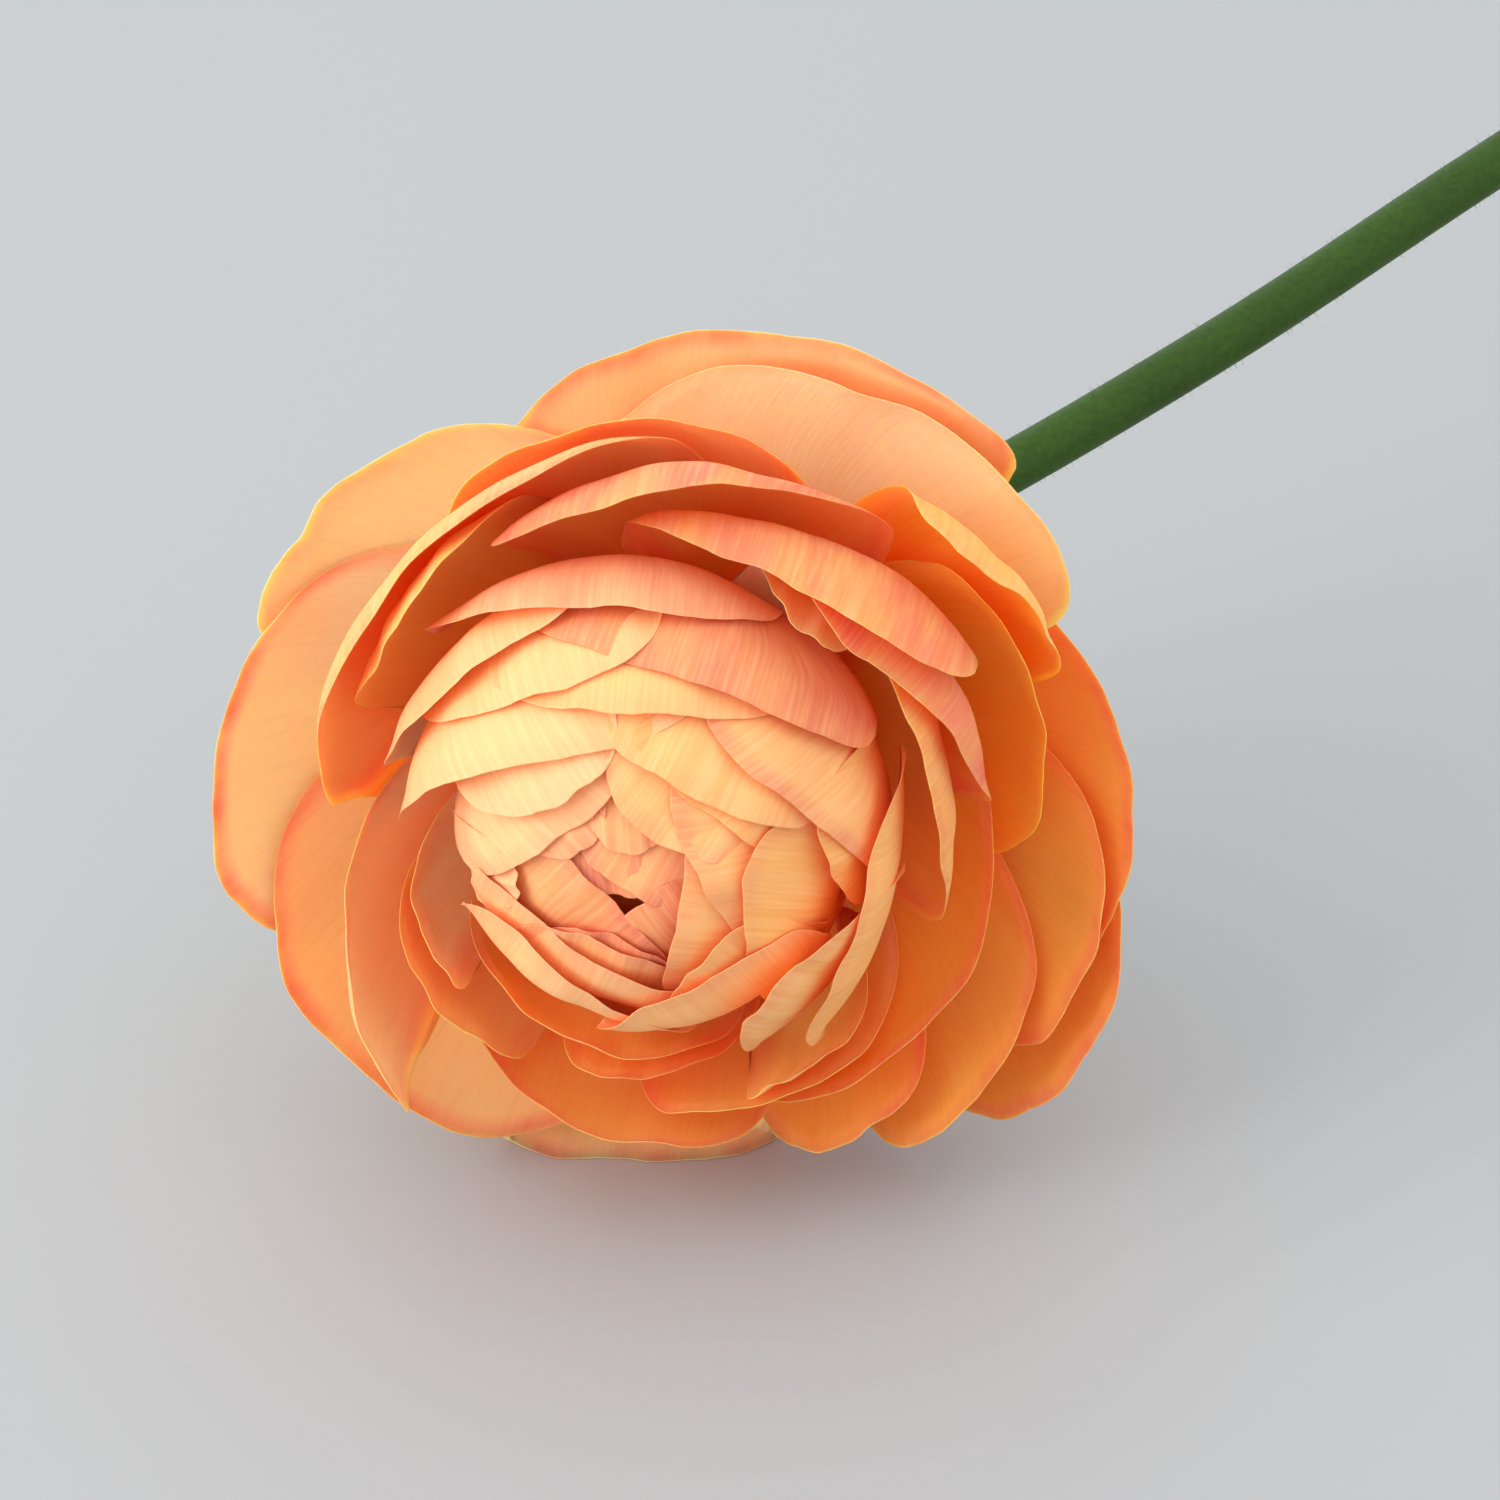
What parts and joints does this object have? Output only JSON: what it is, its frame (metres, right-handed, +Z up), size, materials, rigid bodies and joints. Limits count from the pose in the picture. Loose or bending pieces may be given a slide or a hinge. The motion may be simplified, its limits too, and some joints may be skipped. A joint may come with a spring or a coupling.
{
  "type": "cut ranunculus flower",
  "caption": "Full double ranunculus bloom in apricot orange on a slim arched green stem, cut and lying on its side, with nested cupped petals round a closed head.",
  "frame": {"origin": "the flat spot where the lowest guard petal is pressed against the surface", "axes": "+Z up from the surface it lies on; the bloom faces -Y and a little up; the stem runs back and to the right, towards +X +Y"},
  "size_m": [0.1916, 0.1816, 0.0596],
  "materials": {
    "head_petals": "soft satin petal, pale apricot yellow with pink rims",
    "cup_petals": "soft satin petal, warm orange with pale pink rims",
    "guard_petals": "soft satin petal, apricot with coral rims",
    "sepals": "matt, finely hairy, yellow green",
    "stem": "satin, fresh green, finely hairy"
  },
  "bodies": {
    "root": {"stem": "stem", "head": "head_petals", "cup_petal_1": "cup_petals", "cup_petal_2": "cup_petals", "cup_petal_3": "cup_petals", "cup_petal_4": "cup_petals", "cup_petal_5": "cup_petals", "cup_petal_6": "cup_petals", "cup_petal_7": "cup_petals", "cup_petal_8": "cup_petals", "cup_petal_9": "cup_petals", "cup_petal_10": "cup_petals", "cup_petal_11": "cup_petals", "cup_petal_12": "cup_petals", "cup_petal_13": "cup_petals", "cup_petal_14": "cup_petals", "cup_petal_15": "cup_petals", "cup_petal_16": "cup_petals", "cup_petal_17": "cup_petals", "cup_petal_18": "cup_petals", "cup_petal_19": "cup_petals", "guard_petal_1": "guard_petals", "guard_petal_2": "guard_petals", "guard_petal_3": "guard_petals", "guard_petal_4": "guard_petals", "guard_petal_5": "guard_petals", "guard_petal_6": "guard_petals", "guard_petal_7": "guard_petals", "guard_petal_8": "guard_petals", "guard_petal_9": "guard_petals", "guard_petal_10": "guard_petals", "guard_petal_11": "guard_petals", "sepal_1": "sepals", "sepal_2": "sepals", "sepal_3": "sepals", "sepal_4": "sepals", "sepal_5": "sepals"}
  },
  "joints": []
}
